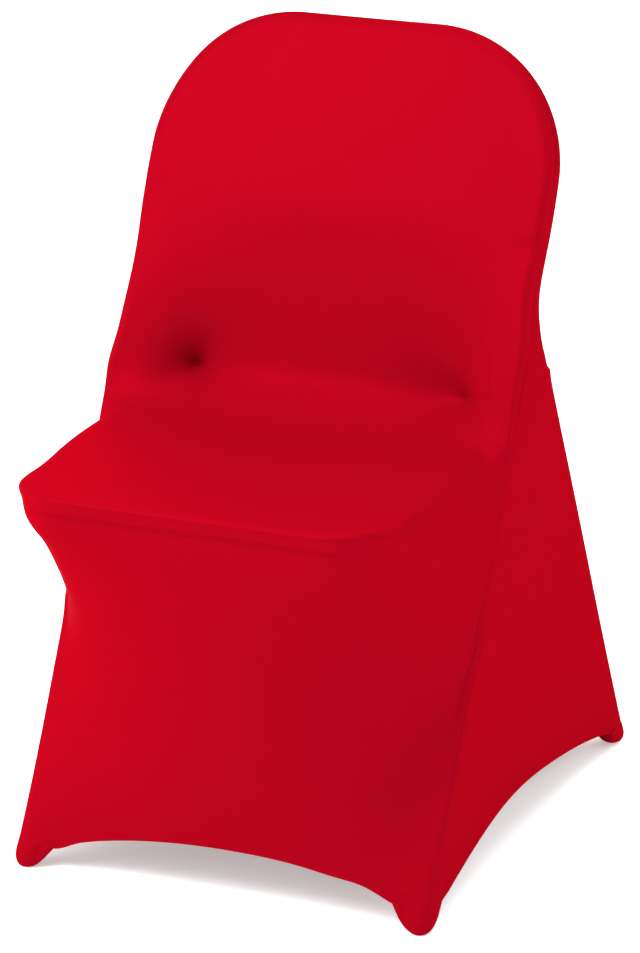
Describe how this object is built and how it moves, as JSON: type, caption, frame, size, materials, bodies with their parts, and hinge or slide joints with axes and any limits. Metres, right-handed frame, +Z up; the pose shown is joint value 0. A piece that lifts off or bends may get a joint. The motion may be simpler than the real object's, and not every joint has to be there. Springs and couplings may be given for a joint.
{
  "type": "stretch chair cover",
  "caption": "Fitted stretch-knit cover for a folding chair, pulled tight over back, seat and legs, with arched hems and closed foot pockets.",
  "frame": {"origin": "on the floor, at the middle of the cover's footprint", "axes": "+Z up, -Y to the front of the chair, +X to the right of a viewer who faces the front"},
  "size_m": [0.51, 0.6489, 0.8477],
  "materials": {
    "red_knit": "satin"
  },
  "bodies": {
    "root": {"front_panel": "red_knit", "back_panel": "red_knit", "side_panel_right": "red_knit", "side_panel_left": "red_knit", "foot_pocket_front_right": "red_knit", "foot_pocket_front_left": "red_knit", "foot_pocket_rear_right": "red_knit", "foot_pocket_rear_left": "red_knit"}
  },
  "joints": []
}
